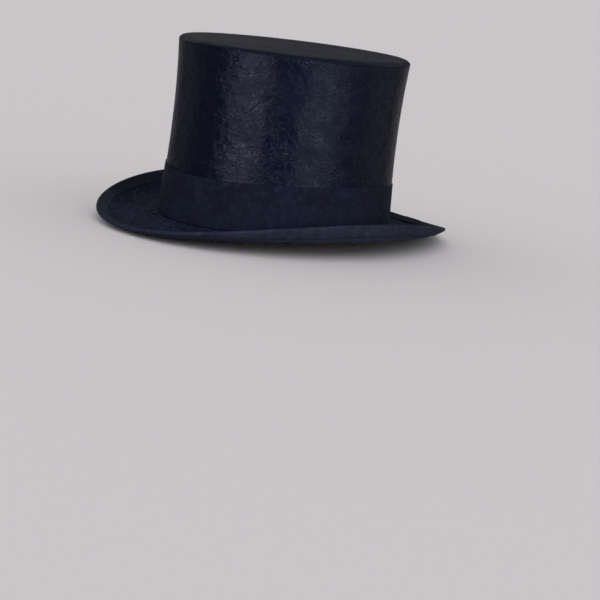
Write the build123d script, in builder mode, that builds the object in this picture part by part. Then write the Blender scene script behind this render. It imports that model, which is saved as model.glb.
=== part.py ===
from build123d import *
from math import cos, degrees, pi, radians, sin
import os

# A formal top hat, millimetres. +Z is up, the wearer faces -Y, the wearer's left is +X.
# The hat stands on its brim: z = 0 is the lowest line of the brim, which touches at front and back.

# ---- Crown ----
HALF_WIDTH = 86.5  # outer oval at the foot, to the wearer's left and right
HALF_DEPTH = 103.5  # outer oval at the foot, to the front and the back
CROWN_HEIGHT = 143.5  # from the foot's reference level to the top of the tip
WAIST_INSET = 3.5  # how far the wall draws in at the waist
WAIST_LEVEL = 0.58  # height of the waist, as a share of the crown's height
TOP_INSET = 1.0  # how far the wall stays in at the tip
TIP_EDGE_RADIUS = 5.0
CROWN_SECTIONS = 7
BELOW_FOOT = 6.0  # how far the wall is drawn below its reference level before it is cut

# ---- Foot of the crown: a shallow saddle, high at the sides ----
FOOT_SIDE_RISE = 3.1
FOOT_END_DROP = -2.1

# ---- Brim: each section is a straight part, then an arc that curls up ----
BRIM_SIDE_WIDTH = 41.0  # developed width from crown to rim
BRIM_FRONT_WIDTH = 56.0
BRIM_BACK_WIDTH = 58.5
BRIM_QUARTER_TRIM = -5.0  # change of width at the four quarters
SIDE_SLOPE = 1.5  # slope of the straight part, degrees
FRONT_SLOPE = -10.5
BACK_SLOPE = -10.0
QUARTER_SLOPE = 1.25
SIDE_CURL = 86.0  # turn of the curling arc, degrees
FRONT_CURL = 31.0
BACK_CURL = 30.0
QUARTER_CURL = -3.0
STRAIGHT_SHARE = 0.43  # share of the width that is straight
BRIM_STATIONS = 19  # sections from front to back on one side

# ---- Layers of the brim, heights from its middle surface ----
GAP = 0.05  # clearance between layers
UNDER_CLOTH = (-1.15, -0.75)
BRIM_BOARD = (-0.70, 0.60)
UPPER_PLUSH = (0.65, 1.15)
BINDING_OUTSIDE = 1.6
BINDING_THICKNESS = 0.4
BINDING_REACH = 9.0  # width of the ribbon on each face
LAP_THICKNESS = 0.35

# ---- Layers of the crown wall, insets from its outer face ----
PLUSH = (0.0, 0.9)
SHELL = (0.95, 2.45)
ROBBIN = (2.50, 2.80)
REED_TAPE = (2.85, 3.15)
LINING = (2.85, 3.25)
SWEATBAND = (3.35, 4.35)
BOW_RIBBON = (4.45, 5.05)
BOW_KNOT = (5.10, 5.90)
BAND = (-0.85, -0.05)
BAND_LAP = (-1.45, -0.90)

# ---- Where each brim layer starts, outward from the crown's outer face ----
PLUSH_START = 0.4
BOARD_START = -0.6
CLOTH_START = -2.5

# ---- Heights above the foot line ----
BAND_SIDE_TOP = 39.0
BAND_END_TOP = 40.0
PLUSH_FOOT = 0.9
BAND_FOOT = 1.3
SHELL_FOOT = -0.15
ROBBIN_TOP = 16.0
REED_TAPE_FOOT = -0.9
REED_TAPE_TOP = 9.0
LINING_FOOT = 20.0
SWEATBAND_TOP = 56.0
SWEATBAND_FOOT = 0.6
REED_RADIUS = 0.8
REED_SIDES = 12  # the cane is pared to flats inside its leather
REED_CENTRE = (-4.25, -0.25)  # outward and up from the foot line

# ---- Depths below the top of the tip ----
PLUSH_SEAM_DEPTH = 3.2
TIP_FLANGE_DEPTH = 5.0
TIP_LINING = (3.7, 4.1)
TIP_LINING_INSET = 3.3

# ---- Joins and stitches ----
BAND_LAP_LENGTH = 24.0
BAND_LAP_ANGLE = 180.0  # on the wearer's right
BINDING_LAP_ANGLE = 3.0  # half of the lap, degrees round the oval, at the back
TACK_COUNT = 5
TACK_ANGLE = 5.5  # from the lap's middle to its sewn end
TACK_SIZE = (0.4, 0.6, 2.4)
STITCH_COUNT = 96
STITCH_FROM_EDGE = 1.0  # binding stitches, inside the ribbon's edge
STITCH_CLEAR = 1.0  # degrees between the lap and the nearest stitch
STITCH_SIZE = (0.5, 0.3, 2.4)  # across, proud, along
SWEATBAND_STITCH_HEIGHT = 3.0
LINING_STITCH_COUNT = 60
LINING_STITCH_SIZE = (0.4, 0.6, 2.0)
BOW_HEIGHT = 10.0
BOW_LOOP = 13.0
BOW_LOOP_HALF_WIDTH = 5.0
BOW_WAIST_HALF_WIDTH = 1.8
BOW_KNOT_SIZE = (4.0, 5.0)


def blend(side, front, back, quarter, angle):
    """A value round the oval: its side value at 0 and 180 degrees, its end values at -90 and 90."""
    across = cos(radians(angle)) ** 2
    along = sin(radians(angle)) ** 2
    end = front if sin(radians(angle)) < 0 else back
    return side * across + end * along + quarter * sin(radians(2 * angle)) ** 2


def brim_width(angle):
    return blend(BRIM_SIDE_WIDTH, BRIM_FRONT_WIDTH, BRIM_BACK_WIDTH, BRIM_QUARTER_TRIM, angle)


def brim_slope(angle):
    return blend(SIDE_SLOPE, FRONT_SLOPE, BACK_SLOPE, QUARTER_SLOPE, angle)


def brim_curl(angle):
    return blend(SIDE_CURL, FRONT_CURL, BACK_CURL, QUARTER_CURL, angle)


def curl_radius(angle):
    return (1 - STRAIGHT_SHARE) * brim_width(angle) / radians(brim_curl(angle))


def lowest_point(angle):
    """Height of the brim's under face at its lowest, measured from the crown's reference level."""
    slope = radians(brim_slope(angle))
    foot = blend(FOOT_SIDE_RISE, FOOT_END_DROP, FOOT_END_DROP, 0, angle)
    straight = STRAIGHT_SHARE * brim_width(angle)
    radius = curl_radius(angle)
    return foot + straight * sin(slope) - radius * (1 - cos(slope)) + UNDER_CLOTH[0]


# The reference level of the crown, above the surface that the brim stands on.
LEVEL = -min(lowest_point(-90), lowest_point(90))
TOP = LEVEL + CROWN_HEIGHT


def foot_height(angle):
    return LEVEL + blend(FOOT_SIDE_RISE, FOOT_END_DROP, FOOT_END_DROP, 0, angle)


def turned_by(angle, along):
    """How far the curl has turned, in degrees, at this distance from the crown."""
    straight = STRAIGHT_SHARE * brim_width(angle)
    return max(along - straight, 0) / curl_radius(angle) * 180 / pi


def brim_point(angle, along, height):
    """Outward and up to the point this far along the section and this far above it, and its slope."""
    slope = brim_slope(angle)
    run = min(along, STRAIGHT_SHARE * brim_width(angle))
    radius = curl_radius(angle)
    start = radians(slope)
    end = radians(slope + turned_by(angle, along))
    x = run * cos(start) + radius * (sin(end) - sin(start)) - height * sin(end)
    y = run * sin(start) + radius * (cos(start) - cos(end)) + height * cos(end)
    return x, y, degrees(end)


# The crown's oval is moved along Y so that the whole hat, front rim to back rim, is centred.
LAP_INSIDE = BINDING_OUTSIDE + GAP
LAP_OUTSIDE = LAP_INSIDE + LAP_THICKNESS
FRONT_REACH = brim_point(-90, brim_width(-90), 0)[0] + BINDING_OUTSIDE
BACK_REACH = brim_point(90, brim_width(90), 0)[0] + LAP_OUTSIDE
OVAL_CENTRE = (FRONT_REACH - BACK_REACH) / 2


def wall_inset(height):
    """The cubic that is 0 at the foot, level at the waist and TOP_INSET at the tip."""
    share = (height - LEVEL) / CROWN_HEIGHT
    w = WAIST_LEVEL
    # inset = a*share + b*share^2 + c*share^3, with slope 0 and value WAIST_INSET at the waist
    c = (TOP_INSET - WAIST_INSET * (2 * w - 1) / w**2) / (1 - w) ** 2
    b = -WAIST_INSET / w**2 - 2 * c * w
    a = 2 * WAIST_INSET / w + c * w**2
    return a * share + b * share**2 + c * share**3


def section_plane(angle):
    """The upright plane square to the oval at this angle: x is outward, y is up."""
    x = HALF_WIDTH * cos(radians(angle))
    y = HALF_DEPTH * sin(radians(angle))
    outward = Vector(x / HALF_WIDTH**2, y / HALF_DEPTH**2, 0).normalized()
    origin = (x, OVAL_CENTRE + y, foot_height(angle))
    return Plane(origin, x_dir=outward, z_dir=outward.cross(Vector(0, 0, 1)))


def brim_line(angle, start, end, height):
    """Draw the section's line at one height: straight, then the arc, in a BuildLine."""
    straight = STRAIGHT_SHARE * brim_width(angle)
    first = brim_point(angle, start, height)[:2]
    last = brim_point(angle, end, height)[:2]
    if start < straight:
        knee = brim_point(angle, straight, height)[:2]
        middle = brim_point(angle, (straight + end) / 2, height)[:2]
        Line(first, knee)
        ThreePointArc(knee, middle, last)
    else:
        middle = brim_point(angle, (start + end) / 2, height)[:2]
        ThreePointArc(first, middle, last)
    return first, last


def layer_section(angle, start, low, high):
    """One layer of the brim, from `start` out to the rim."""
    width = brim_width(angle)
    with BuildSketch(section_plane(angle)) as section:
        with BuildLine():
            inner_low, outer_low = brim_line(angle, start, width, low)
            inner_high, outer_high = brim_line(angle, start, width, high)
            Line(inner_low, inner_high)
            Line(outer_low, outer_high)
        make_face()
    return section.sketch


def binding_section(angle, inside, outside):
    """The folded ribbon: both faces of the rim and the round edge between them."""
    width = brim_width(angle)
    start = width - BINDING_REACH
    nose = radians(brim_slope(angle) + brim_curl(angle))
    rim = brim_point(angle, width, 0)
    with BuildSketch(section_plane(angle)) as section:
        with BuildLine():
            ends = {}
            for height in (inside, outside):
                ends[-height], low_end = brim_line(angle, start, width, -height)
                ends[height], high_end = brim_line(angle, start, width, height)
                tip = (rim[0] + height * cos(nose), rim[1] + height * sin(nose))
                ThreePointArc(low_end, tip, high_end)
            Line(ends[-inside], ends[-outside])
            Line(ends[inside], ends[outside])
        make_face()
    return section.sketch


def reed_section(angle):
    with BuildSketch(section_plane(angle)) as section:
        with Locations(REED_CENTRE):
            RegularPolygon(REED_RADIUS, REED_SIDES)
    return section.sketch


def stations(first=-90.0, count=BRIM_STATIONS):
    """Angles from `first` to the back, down the wearer's left."""
    return [first + (90.0 - first) * i / (count - 1) for i in range(count)]


def crown_ovals(inset, top=TOP):
    """Level ovals of the crown, this far inside its outer face, from below the foot to `top`."""
    low = LEVEL - BELOW_FOOT
    ovals = []
    for i in range(CROWN_SECTIONS):
        height = low + (top - low) * i / (CROWN_SECTIONS - 1)
        total = inset + wall_inset(height)
        with BuildSketch(Plane((0, OVAL_CENTRE, height))) as oval:
            Ellipse(HALF_WIDTH - total, HALF_DEPTH - total)
        ovals.append(oval.sketch)
    return ovals


def foot_cutter(rise, edge):
    """Face between level `edge` and an arc that follows the foot line, `rise` = (side, end) above it."""
    reach = 1.5
    low = LEVEL + FOOT_END_DROP + rise[1]
    high = low + (FOOT_SIDE_RISE + rise[0] - FOOT_END_DROP - rise[1]) * reach**2
    half = HALF_WIDTH * reach
    with BuildSketch(Plane.XZ) as cutter:
        with BuildLine():
            ThreePointArc((-half, high), (0, low), (half, high))
            Polyline((half, high), (half, edge), (-half, edge), (-half, high))
        make_face()
    return cutter.sketch


def cut_below(rise):
    """Cut away what lies lower than this above the foot line."""
    extrude(foot_cutter(rise, -TOP), amount=2 * HALF_DEPTH, both=True, mode=Mode.SUBTRACT)


def cut_above(rise):
    """Cut away what lies higher than this above the foot line."""
    extrude(foot_cutter(rise, 2 * TOP), amount=2 * HALF_DEPTH, both=True, mode=Mode.SUBTRACT)


def wall_ring(layer):
    """The wall between the layer's two insets, open at both ends."""
    loft(crown_ovals(layer[0]))
    loft(crown_ovals(layer[1]), mode=Mode.SUBTRACT)


def crown_dome(inset):
    """Solid body of the crown, this far inside its outer face, with the rounded tip edge."""
    body = loft(crown_ovals(inset, TOP - inset), mode=Mode.PRIVATE)
    return body.fillet(TIP_EDGE_RADIUS - inset, body.edges().group_by(Axis.Z)[-1])


def wall_cap(layer):
    """The wall between the layer's two insets, closed and rounded at the tip."""
    add(crown_dome(layer[0]))
    add(crown_dome(layer[1]), mode=Mode.SUBTRACT)


def wall_band(layer, foot, top):
    """A ring of the wall between two lines that follow the foot; foot and top are (side, end)."""
    wall_ring(layer)
    cut_below(foot)
    cut_above(top)


def wall_place(angle, height, inset):
    """Plane on the wall at this inset: x is outward, y is up, z runs round the oval."""
    total = inset + wall_inset(height)
    place = section_plane(angle)
    x = (HALF_WIDTH - total) * cos(radians(angle))
    y = OVAL_CENTRE + (HALF_DEPTH - total) * sin(radians(angle))
    return Plane((x, y, height), x_dir=place.x_dir, z_dir=place.z_dir)


def brim_place(angle, along, height):
    """Plane on the brim's section: x runs to the rim, y is square to the face."""
    place = section_plane(angle)
    x, y, slope = brim_point(angle, along, height)
    origin = place.from_local_coords((x, y, 0))
    return Plane(origin, x_dir=place.x_dir, z_dir=place.z_dir).rotated((0, 0, slope))


def hand_over(piece, label):
    piece.part.label = label
    export_step(piece.part, f"parts/{label}.step")


os.makedirs("parts", exist_ok=True)


# ---- Crown: stiffened shells ----
with BuildPart() as crown_side_shell:
    wall_ring(SHELL)
    cut_below((SHELL_FOOT, SHELL_FOOT))
    split(bisect_by=Plane.XY.offset(TOP - TIP_FLANGE_DEPTH), keep=Keep.BOTTOM)
hand_over(crown_side_shell, "crown_side_shell")

with BuildPart() as crown_tip_shell:
    wall_cap(SHELL)
    split(bisect_by=Plane.XY.offset(TOP - TIP_FLANGE_DEPTH + GAP), keep=Keep.TOP)
hand_over(crown_tip_shell, "crown_tip_shell")

with BuildPart() as robbin_strip:
    wall_band(ROBBIN, (SHELL_FOOT, SHELL_FOOT), (ROBBIN_TOP, ROBBIN_TOP))
hand_over(robbin_strip, "robbin_strip")

# ---- Crown: plush covers ----
with BuildPart() as crown_side_plush:
    wall_cap(PLUSH)
    cut_below((PLUSH_FOOT, PLUSH_FOOT))
    split(bisect_by=Plane.XY.offset(TOP - PLUSH_SEAM_DEPTH), keep=Keep.BOTTOM)
hand_over(crown_side_plush, "crown_side_plush")

with BuildPart() as crown_tip_plush:
    wall_cap(PLUSH)
    split(bisect_by=Plane.XY.offset(TOP - PLUSH_SEAM_DEPTH + GAP), keep=Keep.TOP)
hand_over(crown_tip_plush, "crown_tip_plush")

# ---- Brim ----
with BuildPart() as brim_shell:
    loft([layer_section(angle, BOARD_START, *BRIM_BOARD) for angle in stations()])
    mirror(about=Plane.YZ)
hand_over(brim_shell, "brim_shell")

with BuildPart() as brim_upper_plush:
    loft([layer_section(angle, PLUSH_START, *UPPER_PLUSH) for angle in stations()])
    mirror(about=Plane.YZ)
hand_over(brim_upper_plush, "brim_upper_plush")

with BuildPart() as brim_under_cloth:
    loft([layer_section(angle, CLOTH_START, *UNDER_CLOTH) for angle in stations()])
    mirror(about=Plane.YZ)
hand_over(brim_under_cloth, "brim_under_cloth")

binding_inside = BINDING_OUTSIDE - BINDING_THICKNESS
with BuildPart() as brim_edge_binding:
    loft([binding_section(angle, binding_inside, BINDING_OUTSIDE) for angle in stations()])
    mirror(about=Plane.YZ)
hand_over(brim_edge_binding, "brim_edge_binding")

lap_stations = stations(90 - BINDING_LAP_ANGLE, 3)
with BuildPart() as brim_binding_lap:
    loft([binding_section(angle, LAP_INSIDE, LAP_OUTSIDE) for angle in lap_stations])
    mirror(about=Plane.YZ)
hand_over(brim_binding_lap, "brim_binding_lap")

# A row of stitches on each face, just inside the ribbon's edge, clear of the lap at the back.
stitch_height = BINDING_OUTSIDE + GAP + STITCH_SIZE[1] / 2
with BuildPart() as binding_stitches:
    for i in range(STITCH_COUNT):
        angle = 90 + 360 * (i + 0.5) / STITCH_COUNT
        clear_of_lap = min(angle - 90, 450 - angle) > BINDING_LAP_ANGLE + STITCH_CLEAR
        if clear_of_lap:
            along = brim_width(angle) - BINDING_REACH + STITCH_FROM_EDGE
            for side in (-1, 1):
                with Locations(brim_place(angle, along, side * stitch_height)):
                    Box(*STITCH_SIZE)
hand_over(binding_stitches, "binding_stitches")

# ---- Hat band ----
band_foot = (BAND_FOOT, BAND_FOOT)
band_top = (BAND_SIDE_TOP, BAND_END_TOP)
with BuildPart() as hat_band:
    wall_band(BAND, band_foot, band_top)
hand_over(hat_band, "hat_band")

with BuildPart() as hat_band_lap:
    wall_band(BAND_LAP, band_foot, band_top)
    with Locations((-HALF_WIDTH, OVAL_CENTRE, LEVEL)):
        Box(HALF_WIDTH, BAND_LAP_LENGTH, 2 * TOP, mode=Mode.INTERSECT)
hand_over(hat_band_lap, "hat_band_lap")

with BuildPart() as hat_band_tacks:
    for i in range(TACK_COUNT):
        tack_level = foot_height(BAND_LAP_ANGLE) + BAND_SIDE_TOP * (i + 0.5) / TACK_COUNT
        tack_inset = BAND_LAP[0] - GAP - TACK_SIZE[0] / 2
        with Locations(wall_place(BAND_LAP_ANGLE - TACK_ANGLE, tack_level, tack_inset)):
            Box(*TACK_SIZE)
hand_over(hat_band_tacks, "hat_band_tacks")

# ---- Sweatband ----
with BuildPart() as sweatband:
    wall_band(SWEATBAND, (SWEATBAND_FOOT, SWEATBAND_FOOT), (SWEATBAND_TOP, SWEATBAND_TOP))
hand_over(sweatband, "sweatband")

with BuildPart() as sweatband_reed:
    loft([reed_section(angle) for angle in stations()])
    mirror(about=Plane.YZ)
hand_over(sweatband_reed, "sweatband_reed")

with BuildPart() as reed_tape:
    wall_band(REED_TAPE, (REED_TAPE_FOOT, REED_TAPE_FOOT), (REED_TAPE_TOP, REED_TAPE_TOP))
hand_over(reed_tape, "reed_tape")

with BuildPart() as sweatband_stitches:
    for i in range(STITCH_COUNT):
        angle = 90 + 360 * (i + 0.5) / STITCH_COUNT
        level = foot_height(angle) + SWEATBAND_STITCH_HEIGHT
        with Locations(wall_place(angle, level, SWEATBAND[1] + GAP + STITCH_SIZE[1] / 2)):
            Box(STITCH_SIZE[1], STITCH_SIZE[0], STITCH_SIZE[2])
hand_over(sweatband_stitches, "sweatband_stitches")

bow_level = foot_height(90) + BOW_HEIGHT
with BuildPart() as sweatband_bow:
    wall_ring(BOW_RIBBON)
    with BuildSketch(Plane.XZ):
        with BuildLine():
            Polyline(
                (0, bow_level + BOW_WAIST_HALF_WIDTH),
                (BOW_LOOP, bow_level + BOW_LOOP_HALF_WIDTH),
                (BOW_LOOP, bow_level - BOW_LOOP_HALF_WIDTH),
                (0, bow_level - BOW_WAIST_HALF_WIDTH),
            )
            mirror(about=Plane.YZ)
        make_face()
    extrude(amount=-2 * HALF_DEPTH, mode=Mode.INTERSECT)
hand_over(sweatband_bow, "sweatband_bow")

with BuildPart() as sweatband_bow_knot:
    with Locations(wall_place(90, bow_level, (BOW_KNOT[0] + BOW_KNOT[1]) / 2)):
        Box(BOW_KNOT[1] - BOW_KNOT[0], BOW_KNOT_SIZE[1], BOW_KNOT_SIZE[0])
hand_over(sweatband_bow_knot, "sweatband_bow_knot")

# ---- Lining ----
with BuildPart() as lining_side:
    wall_ring(LINING)
    cut_below((LINING_FOOT, LINING_FOOT))
    split(bisect_by=Plane.XY.offset(TOP - TIP_LINING[1] - GAP), keep=Keep.BOTTOM)
hand_over(lining_side, "lining_side")

with BuildPart() as lining_tip:
    with BuildSketch(Plane((0, OVAL_CENTRE, TOP - TIP_LINING[1]))):
        Ellipse(HALF_WIDTH - TOP_INSET - TIP_LINING_INSET, HALF_DEPTH - TOP_INSET - TIP_LINING_INSET)
    extrude(amount=TIP_LINING[1] - TIP_LINING[0])
hand_over(lining_tip, "lining_tip")

with BuildPart() as lining_stitches:
    for i in range(LINING_STITCH_COUNT):
        angle = 360 * i / LINING_STITCH_COUNT
        level = TOP - TIP_LINING[1] - GAP - LINING_STITCH_SIZE[1] / 2
        with Locations(wall_place(angle, level, LINING[1] + GAP + LINING_STITCH_SIZE[0] / 2)):
            Box(*LINING_STITCH_SIZE)
hand_over(lining_stitches, "lining_stitches")
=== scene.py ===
"""A formal top hat of silk plush with a grosgrain band, built around its CAD frame."""

from functools import partial

import bpy
import numpy as np
from bpy.props import FloatProperty, FloatVectorProperty, PointerProperty
from mathutils import Matrix, Vector


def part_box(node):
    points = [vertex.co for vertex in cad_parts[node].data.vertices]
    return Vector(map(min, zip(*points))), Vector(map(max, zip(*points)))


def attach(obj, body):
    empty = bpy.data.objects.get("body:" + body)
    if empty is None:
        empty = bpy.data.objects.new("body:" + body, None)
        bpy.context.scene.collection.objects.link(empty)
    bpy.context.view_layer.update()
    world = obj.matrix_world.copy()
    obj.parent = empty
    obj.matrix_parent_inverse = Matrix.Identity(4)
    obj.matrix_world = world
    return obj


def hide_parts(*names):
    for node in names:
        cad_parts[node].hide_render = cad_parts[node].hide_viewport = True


bl_info = {
    "name": "Top Hat",
    "version": (1, 0, 0),
    "blender": (4, 5, 0),
    "location": "View3D > Sidebar > Top Hat",
    "description": "Makes a silk plush top hat, piece by piece, around its CAD frame",
    "category": "Object",
}

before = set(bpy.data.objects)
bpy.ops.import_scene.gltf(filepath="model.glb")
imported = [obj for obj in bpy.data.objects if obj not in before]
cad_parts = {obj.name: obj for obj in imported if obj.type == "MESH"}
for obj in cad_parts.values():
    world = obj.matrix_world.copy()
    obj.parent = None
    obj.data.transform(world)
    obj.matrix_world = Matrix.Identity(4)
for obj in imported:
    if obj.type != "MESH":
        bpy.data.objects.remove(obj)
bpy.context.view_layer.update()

MM = 0.001
TAU = 2 * np.pi
AROUND = 360  # columns of a piece that goes round the hat
FINE = 720  # columns of a piece with ripples or folds finer than the hat's round
BACK, RIGHT = np.pi / 2, np.pi  # angles of the hat's back and of the wearer's right
NOSE = np.linspace(np.pi / 2, -np.pi / 2, 11)[None, 1:-1]  # over the rim, from above to below

# layers of the brim, as their two faces' lifts off the middle surface
BRIM_PLUSH = 0.66 * MM, 1.17 * MM
BRIM_MERINO = -1.15 * MM, -0.76 * MM

# layers of the wall, as insets of their two faces from the crown's outer face
BAND = -0.78 * MM, -0.06 * MM
BAND_LAP = -1.42 * MM, -0.88 * MM
BAND_GAP = 1.3 * MM  # from the foot line up to the band
LEATHER_IN, LEATHER = 3.42 * MM, 0.92 * MM
LEATHER_HEIGHT = 56 * MM
REED_IN, REED_RADIUS, REED_DROP = 4.25 * MM, 0.8 * MM, 0.25 * MM
SATIN_IN, SATIN = 2.88 * MM, 0.34 * MM
SATIN_FOOT, SATIN_TOP = 20 * MM, 4.2 * MM
TIP_SATIN_IN = 3.35 * MM
TIP_SATIN = -3.72 * MM, -4.06 * MM  # levels under the crown's top


# ---------------------------------------------------------------- sizes


def length(name, description, default_mm):
    """A property that holds a length, given in millimetres and kept in metres."""
    return FloatProperty(
        name=name, description=description, default=default_mm * MM, unit="LENGTH",
        subtype="DISTANCE", precision=5,
    )


def turn(name, description, default_degrees):
    """A property that holds an angle, given in degrees and kept in radians."""
    return FloatProperty(
        name=name, description=description, default=float(np.radians(default_degrees)),
        unit="ROTATION", subtype="ANGLE",
    )


def srgb(code):
    """The linear colour of an sRGB hex code: the lower part is a line, the rest a power."""
    parts = np.array([int(code[i : i + 2], 16) / 255 for i in (1, 3, 5)])
    low = parts / 12.92
    high = ((parts + 0.055) / 1.055) ** 2.4
    return tuple(float(v) for v in np.where(parts <= 0.04045, low, high))


def tint(name, description, code):
    """A property that holds a colour, given as an sRGB hex code."""
    return FloatVectorProperty(
        name=name, description=description, default=srgb(code), subtype="COLOR", size=3,
        min=0, max=1,
    )


class HatCrown(bpy.types.PropertyGroup):
    """Sizes of the crown and of the layers of its wall."""

    half_width: length("Half Width", "Outer oval at the foot, to each side", 86.5)
    half_depth: length("Half Depth", "Outer oval at the foot, to front and back", 103.5)
    height: length("Height", "From the foot's level to the top of the tip", 143.5)
    waist_inset: length("Waist Inset", "How far the wall draws in at the waist", 3.5)
    waist_level: FloatProperty(
        name="Waist Level", description="Height of the waist as a share", default=0.58,
        subtype="FACTOR", min=0, max=1,
    )
    top_inset: length("Top Inset", "How far in the wall stays at the tip", 1.0)
    tip_radius: length("Tip Edge Radius", "Round of the tip's edge", 5.0)
    seam_depth: length("Seam Depth", "From the tip's top down to the plush seam", 3.2)
    plush: length("Plush", "Thickness of the plush cover", 0.85)
    side_rise: length("Side Rise", "Height of the foot line at the sides", 3.1)
    end_rise: length("End Rise", "Height of the foot line at front and back", -2.1)
    band_side: length("Band Side Height", "Band's height at the sides", 39)
    band_end: length("Band End Height", "Band's height at front and back", 40)


class HatBrim(bpy.types.PropertyGroup):
    """Sizes of the brim: each section is a straight part and an arc that curls up."""

    side_width: length("Side Width", "From crown to rim over the curl, at the sides", 41)
    front_width: length("Front Width", "From crown to rim over the curl, in front", 56)
    back_width: length("Back Width", "From crown to rim over the curl, behind", 58.5)
    quarter_trim: length("Quarter Trim", "Change of width at the quarters", -5)
    side_slope: turn("Side Slope", "Slope of the straight part at the sides", 1.5)
    front_slope: turn("Front Slope", "Slope of the straight part in front", -10.5)
    back_slope: turn("Back Slope", "Slope of the straight part behind", -10)
    quarter_slope: turn("Quarter Slope", "Change of slope at the quarters", 1.25)
    side_curl: turn("Side Curl", "Turn of the curling arc at the sides", 86)
    front_curl: turn("Front Curl", "Turn of the curling arc in front", 31)
    back_curl: turn("Back Curl", "Turn of the curling arc behind", 30)
    quarter_curl: turn("Quarter Curl", "Change of the curl at the quarters", -3)
    straight: FloatProperty(
        name="Straight Share", description="Share of the width that is straight",
        default=0.43, subtype="FACTOR", min=0.1, max=0.9,
    )
    half_thickness: length("Half Thickness", "From the middle to the binding's face", 1.6)
    binding_reach: length("Binding Reach", "Ribbon's width on each face of the rim", 9)
    ribbon: length("Ribbon", "Thickness of the binding ribbon", 0.45)


class HatCloth(bpy.types.PropertyGroup):
    """Colours of the cloths, and how closely they are sewn."""

    # painted light: the nap colour is painted sheen on the hairs, the ground colour fills the painted
    # shade between them
    plush_dark: tint("Plush Ground", "Silk plush seen into the pile", "#00010A")
    plush_nap_sheen: tint("Plush Nap", "Silk plush along the lie of the nap", "#02040D")
    plush_sheen: tint("Plush Sheen", "Light that the silk throws back", "#C3C9E6")
    brim_cloth: tint("Brim Plush", "Short plush on the brim", "#0A0F1E")
    merino: tint("Merino", "Cloth under the brim", "#191D2B")
    grosgrain: tint("Grosgrain", "Ribbon of the hat band", "#090C18")
    binding: tint("Binding", "Ribbon round the rim, greyed by handling", "#171A26")
    leather: tint("Roan Leather", "Sweatband", "#9A6437")
    satin: tint("Satin", "Lining", "#D9CFBB")
    gossamer: tint("Gossamer", "Shellacked linen of the shells", "#8A6238")
    linen: tint("Linen", "Tape, reed and robbin", "#B7A88C")
    black_thread: tint("Black Thread", "Sewing silk on the outside", "#06080F")
    pale_thread: tint("Pale Thread", "Sewing cotton on the inside", "#CDBFA2")
    stitch_pitch: length("Stitch Pitch", "From one binding stitch to the next", 3.2)
    sewn_length: length("Sewn Length", "Once round the brim along the binding's sewing", 860)


class HatStudio(bpy.types.PropertyGroup):
    """Where the camera stands, and the floor."""

    azimuth: turn("Azimuth", "Turn of the view round the hat", -48.92)
    elevation: turn("Elevation", "How far the view looks down", 12.36)
    roll: turn("Roll", "Tilt of the picture", 7.60)
    distance: length("Distance", "From the camera to the foot of the crown", 1400)
    shift_right: length("Foot Right", "Foot of the crown, right of the view's middle", -21.17)
    shift_up: length("Foot Up", "Foot of the crown, above the view's middle", 69.07)
    lens: FloatProperty(name="Lens", description="Focal length", default=99.93, unit="CAMERA")
    floor: tint("Floor", "Pale studio floor", "#F0ECED")


GROUPS = {"hat_crown": HatCrown, "hat_brim": HatBrim, "hat_cloth": HatCloth,
          "hat_studio": HatStudio}


# ---------------------------------------------------------------- shape of the hat


def centre():
    """Middle of the crown's oval along Y, and the level its heights count from."""
    low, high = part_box("crown_side_plush")
    crown = bpy.context.scene.hat_crown
    return (low[1] + high[1]) / 2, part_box("crown_tip_plush")[1][2] - crown.height


def round_angles(count=AROUND):
    """Angles once round the oval, from the wearer's left towards the back."""
    return np.arange(count) * TAU / count


def around(angle, side, front, back, quarter):
    """side at left and right, front and back at the ends, with quarter added at the four quarters."""
    end = np.where(np.sin(angle) < 0, front, back)
    return side * np.cos(angle) ** 2 + end * np.sin(angle) ** 2 + quarter * np.sin(2 * angle) ** 2


def foot(angle):
    """Height of the foot line above the crown's level: high at the sides, low at the ends."""
    crown = bpy.context.scene.hat_crown
    return around(angle, crown.side_rise, crown.end_rise, crown.end_rise, 0)


def wall(height):
    """Inset of the crown's outer face: the cubic of height that is 0 at the foot, level at the
    waist with the waist's inset, and the top's inset at the tip."""
    crown = bpy.context.scene.hat_crown
    share, w = height / crown.height, crown.waist_level
    c = (crown.top_inset - crown.waist_inset * (2 * w - 1) / w**2) / (1 - w) ** 2
    b = -crown.waist_inset / w**2 - 2 * c * w
    a = 2 * crown.waist_inset / w + c * w**2
    return a * share + b * share**2 + c * share**3


def brim_width(angle):
    """Width of the brim's section, from the crown to the rim over the curl."""
    brim = bpy.context.scene.hat_brim
    return around(angle, brim.side_width, brim.front_width, brim.back_width, brim.quarter_trim)


def brim_section(angle, along, lift):
    """Outward and up to a point of the brim: straight at the section's slope, then along an arc
    that turns by the section's curl, and off the middle surface by `lift`. Also its slope there."""
    brim = bpy.context.scene.hat_brim
    width = brim_width(angle)
    slope = around(angle, brim.side_slope, brim.front_slope, brim.back_slope, brim.quarter_slope)
    curl = around(angle, brim.side_curl, brim.front_curl, brim.back_curl, brim.quarter_curl)
    straight = brim.straight * width
    radius = (width - straight) / curl
    run = np.minimum(along, straight)
    end = slope + np.maximum(along - straight, 0) / radius
    out = run * np.cos(slope) + radius * (np.sin(end) - np.sin(slope)) - lift * np.sin(end)
    up = run * np.sin(slope) + radius * (np.cos(slope) - np.cos(end)) + lift * np.cos(end)
    return out, up + foot(angle), end


def place(angle, out, height):
    """Point of the hat: from the oval at this angle, outward along its normal and up."""
    crown = bpy.context.scene.hat_crown
    middle, level = centre()
    x, y = crown.half_width * np.cos(angle), crown.half_depth * np.sin(angle)
    nx, ny = x / crown.half_width**2, y / crown.half_depth**2
    size = np.hypot(nx, ny)
    return np.stack([x + out * nx / size, middle + y + out * ny / size, level + height], axis=-1)


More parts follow.
